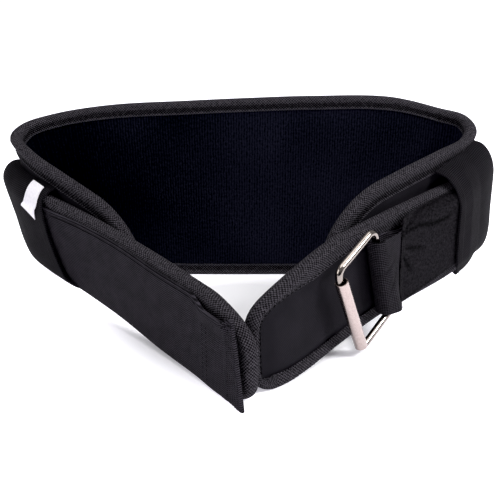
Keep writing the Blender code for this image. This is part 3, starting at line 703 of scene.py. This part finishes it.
# Raised loops: short leaning slivers, closed at the root
PILE_LOOPS = 3600
normal = outwards(patch_middle)
corners, faces = [], []
for _ in range(PILE_LOOPS):
    i = chance.integers(0, patch_middle.shape[0])
    j = chance.integers(0, patch_middle.shape[1])
    root = patch_middle[i, j] + normal[i, j] * 0.5 * MM + chance.normal(0, 0.4, 3) * MM
    lean = normal[i, j] * chance.uniform(0.3, 0.9) * MM + chance.normal(0, 0.55, 3) * MM
    side = np.cross(lean, normal[i, j])
    side = side / max(np.linalg.norm(side), 1e-9) * 0.14 * MM
    n = len(corners)
    corners += [root - side, root + side, root + lean + side * 0.6, root + lean - side * 0.6,
                root - normal[i, j] * 0.12 * MM]
    faces += [(n, n + 1, n + 2, n + 3), (n + 1, n, n + 4), (n + 2, n + 1, n + 4), (n + 3, n + 2, n + 4),
              (n, n + 3, n + 4)]
corners = np.array(corners)
skin("pile_loops", corners, corners[:, :2], faces, pile)

# Keeper loops. Two wide bands of webbing, sewn under the panel's tape and at its foot, that hold the belt to
# the panel. The free front edge of each is turned over and hemmed.
LOOP_THICK, LOOP_ROWS = 1.6, 6
LOOP_MID = WEB_MID + WEB_THICK / 2 + 2.2
# Each loop's front and back edges along the belt, how far out its root is, how much the patch lifts it, how
# far it drops as it comes out over the belt, how much higher its back edge is sewn, its shifts along the belt
# at the top and foot, how far it bellies out, and how far its foot is tucked back
Loop = namedtuple("Loop", "front back root patch_lift drop back_rise top_shift low_shift belly tuck")
LOOPS = {
    "loop_left": Loop(212.5, 266.0, -0.8, 0.8, 21.0, -9.0, 3.0, -25.0, 2.8, 0.0),
    "loop_right": Loop(698.0, 651.0, 0.6, PATCH_MID + 2.7 - LOOP_MID, 28.0, 8.0, 8.0, -6.0, 2.4, -16.0),
}


def loop_surface(shape, parts):
    """The loop's middle surface: one column of points over the belt for each part of its width."""
    columns = []
    for part in parts:
        s = shape.front + (shape.back - shape.front) * part
        # The patch ends under the loop, at about half its width
        bulge = LOOP_MID + shape.patch_lift * min(1.0, max(0.0, (0.62 - part) / 0.3))
        web_low, pad_top = float(read("web_low", s)), float(read("pad_top", s))
        sewn = float(read("panel_top", s)) - 11.6 + shape.back_rise * part
        drop = min(shape.drop, 2.4 * (sewn - pad_top))
        belly = shape.belly * min(1.0, 0.1 + 1.6 * part)
        line = [(shape.root + (bulge - shape.root) * math.sin(math.radians(a)),
                 sewn - drop * (1 - math.cos(math.radians(a)))) for a in (0, 22, 42, 60, 76, 90)]
        line += [(bulge + belly / 2, (web_low + pad_top) / 2), (bulge + belly, web_low + 12.0),
                 (bulge + belly / 2, web_low + 2.0), (bulge - 1.8, web_low - 1.2),
                 (PAD_THICK + 1.2, web_low - 2.2), (8.5, float(read("pad_low", s)) - 1.5),
                 (PANEL_OUT + 0.3 + LOOP_THICK / 2, float(read("panel_low", s)) + 7.0)]
        down = np.arange(len(line)) / (len(line) - 1)
        shift = shape.top_shift * np.clip(1 - 2.5 * down, 0, None)
        shift = shift + shape.low_shift * eased(down, 0.42, 0.85) * (1 - 0.85 * part)
        shift = shift + shape.tuck * eased(down, 0.74, 0.92) * (1 - part)
        rows = smooth_line(np.column_stack((line, s + shift)), LOOP_ROWS, 2)
        columns.append(place(rows[:, 2], rows[:, 0], rows[:, 1]))
    return np.array(columns)


loop_parts = np.concatenate([[0, 0.012, 0.03, 0.06, 0.085, 0.1, 0.115, 0.14],
                             np.linspace(0.17, 0.97, 30), [1]])
hem_round = np.sqrt(1 - (1 - np.clip(loop_parts / 0.03, 0, 1)) ** 2 * 0.9)
hem_shape = 0.3 * eased(-loop_parts, -0.115, -0.1) * hem_round
# Painted shade that darkens the keeper loops all over
LOOP_PAINTED_SHADE = 0.9
for name, shape in LOOPS.items():
    surface = loop_surface(shape, loop_parts)
    facing = 1 if shape.back > shape.front else -1
    # The columns run down the belt, so the grid is turned to run up, and along it for the right-hand loop
    surface = surface[::facing, ::-1]
    hem = hem_shape[::facing][:, None]
    half = LOOP_THICK / 2
    piece = shell(name + "_band", surface, half + hem, half, webbing, name)
    darken(piece, np.full(surface.shape[:2], LOOP_PAINTED_SHADE))

# Care label. A small blank tab of white satin ribbon, caught under the panel's tape so that it hangs over the
# left loop.

# Woven polyester satin: its long floats give a soft sheen, with threads too fine to see but as a faint grain
satin, shader = new_finish("white_satin", 0.5, specular=0.25)
where = add_node(satin, "UVMap", uv_map="map")
threads = add_node(satin, "TexNoise", {"Vector": where, "Scale": 500.0, "Detail": 2.0})
shades = add_node(satin, "ValToRGB", {0: threads}, stops=((0, "#bcb9c0"), (1, "#dcdadf")))
raised = add_node(satin, "Bump", {"Height": threads, "Strength": 0.15, "Distance": 0.0002})
drive(shader, shades, raised)

# The label follows the loop's surface. Its place across the loop is a part of the loop's width, and its top
# and foot are counted in spans of the loop's line, of LOOP_ROWS points each. It curls aside as it hangs
LABEL_COLUMNS = 40
label_parts = np.linspace(0, 1, 9)
label_curl = ((0.0, 0.0), (0.2, -0.022), (0.4, -0.036), (0.6, -0.036), (0.8, -0.01), (1.0, 0.06))
over = loop_surface(LOOPS["loop_left"], np.linspace(0, 1, LABEL_COLUMNS + 1))
label_rows = []
for part in label_parts:
    across, top, foot = 0.09 + 0.23 * part, 0.95 - 0.25 * part, 5.4 - 0.34 * part
    line = []
    for down, slip in smooth_line(label_curl, 4, 1):
        i, k = (across + slip) * LABEL_COLUMNS, (top + (foot - top) * down) * LOOP_ROWS
        a, b = int(i), int(k)
        here = over[a, b] + (over[a + 1, b] - over[a, b]) * (i - a) + (over[a, b + 1] - over[a, b]) * (k - b)
        out = np.cross(over[a + 1, b] - over[a, b], over[a, b + 1] - over[a, b])
        line.append(here + out / np.linalg.norm(out) * (LOOP_THICK / 2 + 1.3) * MM)
    label_rows.append(line[::-1])
label = shell("care_label_tab", np.array(label_rows), 0.3, 0.3, satin, "care_label")

# Buckle. A rectangle of 5 mm plated steel wire with bent corners, its far bar inside the strap's fold, and a
# loose sleeve of thin satin steel tube that rolls on the near bar.
WIRE, RING_TALL, RING_LONG, RING_BEND = 5.0, 69.5, 44.0, 6.0
LEANS, OPENS = math.radians(-0.6), math.radians(6.5)  # out of the wall's plane: at its top, at its near bar
along_x, along_y = way(BAR_FOOT[0])
wall = Matrix(((along_x, -along_y, 0), (along_y, along_x, 0), (0, 0, 1)))
turned = (wall @ Matrix.Rotation(BUCKLE_DIP, 3, "Y") @ Matrix.Rotation(LEANS, 3, "X")
          @ Matrix.Rotation(OPENS, 3, "Z"))
foot = Vector(place(*BAR_FOOT))
hinge = Matrix.Translation(foot + turned @ Vector((0, 0, RING_TALL / 2)) * MM) @ turned.to_4x4()


def finish_steel(name, place_at, material, node, body):
    """Closes the edit, puts the piece at its place with that place in its mesh, and rides it on its body."""
    bpy.ops.mesh.select_all(action="SELECT")
    bpy.ops.mesh.remove_doubles(threshold=1e-6)
    bpy.ops.mesh.normals_make_consistent(inside=False)
    bpy.ops.object.mode_set(mode="OBJECT")
    piece = bpy.context.object
    piece.name = name
    bpy.ops.object.transform_apply(location=True, rotation=True, scale=True)
    piece.data.transform(place_at)
    piece.data.materials.append(material)
    bpy.ops.object.shade_smooth_by_angle(angle=math.radians(40))
    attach(piece, body)
    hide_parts(node)


# Plated steel wire, polished: a sharp mirror with a warm cast and fine wear marks about 1 mm across
steel, shader = new_finish("polished_plated_steel", 0.12, metallic=1.0)
where = add_node(steel, "TexCoord")
marks = add_node(steel, "TexNoise", {"Vector": where.outputs["Object"], "Scale": 900.0, "Detail": 3.0})
shades = add_node(steel, "ValToRGB", {0: marks}, stops=((0, "#756d68"), (1, "#978f89")))
drive(shader, shades)

# Plated steel tube, satin: brighter and duller than the wire, with soft edges to what it mirrors
satin_steel, shader = new_finish("satin_steel_tube", 0.26, metallic=1.0)
where = add_node(satin_steel, "TexCoord")
marks = add_node(satin_steel, "TexNoise", {"Vector": where.outputs["Object"], "Scale": 700.0, "Detail": 4.0})
shades = add_node(satin_steel, "ValToRGB", {0: marks}, stops=((0, "#968884"), (1, "#b0a39f")))
drive(shader, shades)

# The wire's round end is drawn along each side and spun round each bend
side_run, end_run = RING_TALL - 2 * RING_BEND, RING_LONG - 2 * RING_BEND
start_at = (RING_LONG * MM, 0, -side_run / 2 * MM)
bpy.ops.object.select_all(action="DESELECT")
bpy.ops.mesh.primitive_circle_add(vertices=24, radius=WIRE / 2 * MM, location=start_at)
bpy.ops.object.transform_apply(location=True)
bpy.ops.object.mode_set(mode="EDIT")
bpy.ops.mesh.select_all(action="SELECT")
run = Vector((0, 0, side_run * MM))
bend_at = Vector(((RING_LONG - RING_BEND) * MM, 0, side_run / 2 * MM))
for quarter in range(4):
    bpy.ops.mesh.extrude_region_move(TRANSFORM_OT_translate={"value": run})
    bpy.ops.mesh.spin(steps=9, angle=math.radians(90), center=bend_at, axis=(0, 1, 0))
    run = Matrix.Rotation(math.radians(-90), 3, "Y") @ run
    run = run.normalized() * (end_run if quarter % 2 == 0 else side_run) * MM
    bend_at = bend_at + run
finish_steel("buckle_ring_wire", hinge, steel, "buckle_ring", "ring")


def pick(piece, kind, test):
    """Selects the faces or edges that pass a test, of the piece that is being edited."""
    bpy.ops.mesh.select_mode(type=kind)
    bpy.ops.mesh.select_all(action="DESELECT")
    work = bmesh.from_edit_mesh(piece.data)
    for part in work.faces if kind == "FACE" else work.edges:
        part.select = test(part)
    bmesh.update_edit_mesh(piece.data)


def radii(edge):
    """How far an edge's two ends are from the roller's axis, in millimetres."""
    return [math.hypot(v.co.x, v.co.y) / MM for v in edge.verts]


# The tube hangs off-centre on the near bar, 0.3 mm clear of it at the nearest, and a little low on it
ROLLER_RADIUS, ROLLER_WALL, ROLLER_LONG = 4.4, 0.7, 58.5
ROLLER_HANG = Vector((RING_LONG - 0.58, 0.68, -2.3)) * MM
bpy.ops.object.select_all(action="DESELECT")
bpy.ops.mesh.primitive_cylinder_add(vertices=48, radius=ROLLER_RADIUS * MM, depth=ROLLER_LONG * MM)
roller = bpy.context.object
bpy.ops.object.mode_set(mode="EDIT")
pick(roller, "FACE", lambda face: abs(face.normal.z) > 0.9)
bpy.ops.mesh.inset(thickness=ROLLER_WALL * MM)
bpy.ops.mesh.delete(type="ONLY_FACE")
pick(roller, "EDGE", lambda edge: edge.is_boundary and max(radii(edge)) < ROLLER_RADIUS - ROLLER_WALL / 2)
bpy.ops.mesh.bridge_edge_loops()
pick(roller, "EDGE", lambda edge: abs(edge.verts[0].co.z - edge.verts[1].co.z) < 1e-6
     and min(radii(edge)) > ROLLER_RADIUS - 0.01)
bpy.ops.mesh.bevel(offset=0.22 * MM, segments=3)
finish_steel("buckle_roller_tube", hinge @ Matrix.Translation(ROLLER_HANG), satin_steel, "buckle_roller",
             "roller")

# Studio. White paper that runs out of the picture, a white room and three soft lights, seen from half a metre
# in front and a quarter of a metre up.

# Matt white paper that glows, a painted light that is weak near the belt and strong further out, so that
# the picture's edges are white
paper, shader = new_finish("white_paper", 0.9, specular=0.1)
shader.inputs["Base Color"].default_value = linear("#f6f5f8")
shader.inputs["Emission Color"].default_value = linear("#f4f2fb")
where = add_node(paper, "TexCoord")
outward = add_node(paper, "VectorMath", {0: where.outputs["Object"]}, operation="LENGTH")
glow = add_node(paper, "MapRange", {"Value": outward.outputs["Value"], "From Min": 0.07, "From Max": 0.12,
                                    "To Min": 0.02, "To Max": 0.85})
paper.node_tree.links.new(glow.outputs[0], shader.inputs["Emission Strength"])
bpy.ops.object.select_all(action="DESELECT")
bpy.ops.mesh.primitive_plane_add(size=40)
floor = bpy.context.object
floor.name = "studio_floor"
floor.data.materials.append(paper)

world = bpy.data.worlds.new("white_room")
bpy.context.scene.world = world
world.use_nodes = True
sky = world.node_tree.nodes["Background"]
sky.inputs["Strength"].default_value = 0.42
# The room is darker low down behind the camera, which edges the bright steel with dark
facing = add_node(world, "TexCoord")
facing = add_node(world, "SeparateXYZ", {0: facing.outputs["Generated"]})
tilt = add_node(world, "Math", {0: facing.outputs[2], 1: 0.8, 2: facing.outputs[1]}, operation="MULTIPLY_ADD")
tilt = add_node(world, "MapRange", {"Value": tilt, "From Min": -1.0, "From Max": 1.0})
room = add_node(world, "ValToRGB", {0: tilt}, stops=((0.1, "#2c2827"), (0.4, "#fdfdff")))
world.node_tree.links.new(room.outputs[0], sky.inputs["Color"])


def soft_light(name, at, aim, size, watts):
    """A square soft light that faces a point."""
    lamp = bpy.data.lights.new(name, "AREA")
    lamp.size = size
    lamp.energy = watts
    body = bpy.data.objects.new(name, lamp)
    body.location = at
    body.rotation_euler = (Vector(aim) - Vector(at)).to_track_quat("-Z", "Y").to_euler()
    bpy.context.scene.collection.objects.link(body)


soft_light("overhead", (0.1, 0.0, 1.5), (0, 0, 0), 1.2, 14.0)
soft_light("right", (1.1, -0.33, 1.0), (0, 0, 0.05), 0.4, 20.0)
soft_light("left", (-1.1, -0.7, 0.8), (0, 0, 0.05), 0.9, 9.0)

camera = bpy.data.cameras.new("camera")
camera.lens = 54.0
camera.sensor_width = 36.0
viewer = bpy.data.objects.new("camera", camera)
viewer.location = (0.0029, -0.5049, 0.240)
viewer.rotation_euler = (math.radians(70), 0, 0)
bpy.context.scene.collection.objects.link(viewer)
bpy.context.scene.camera = viewer
colours = bpy.context.scene.view_settings
colours.view_transform = "Standard"
# The camera's black point is a little above nothing, so that gaps in black cloth go fully black
colours.use_curve_mapping = True
colours.curve_mapping.black_level = (0.002, 0.002, 0.002)
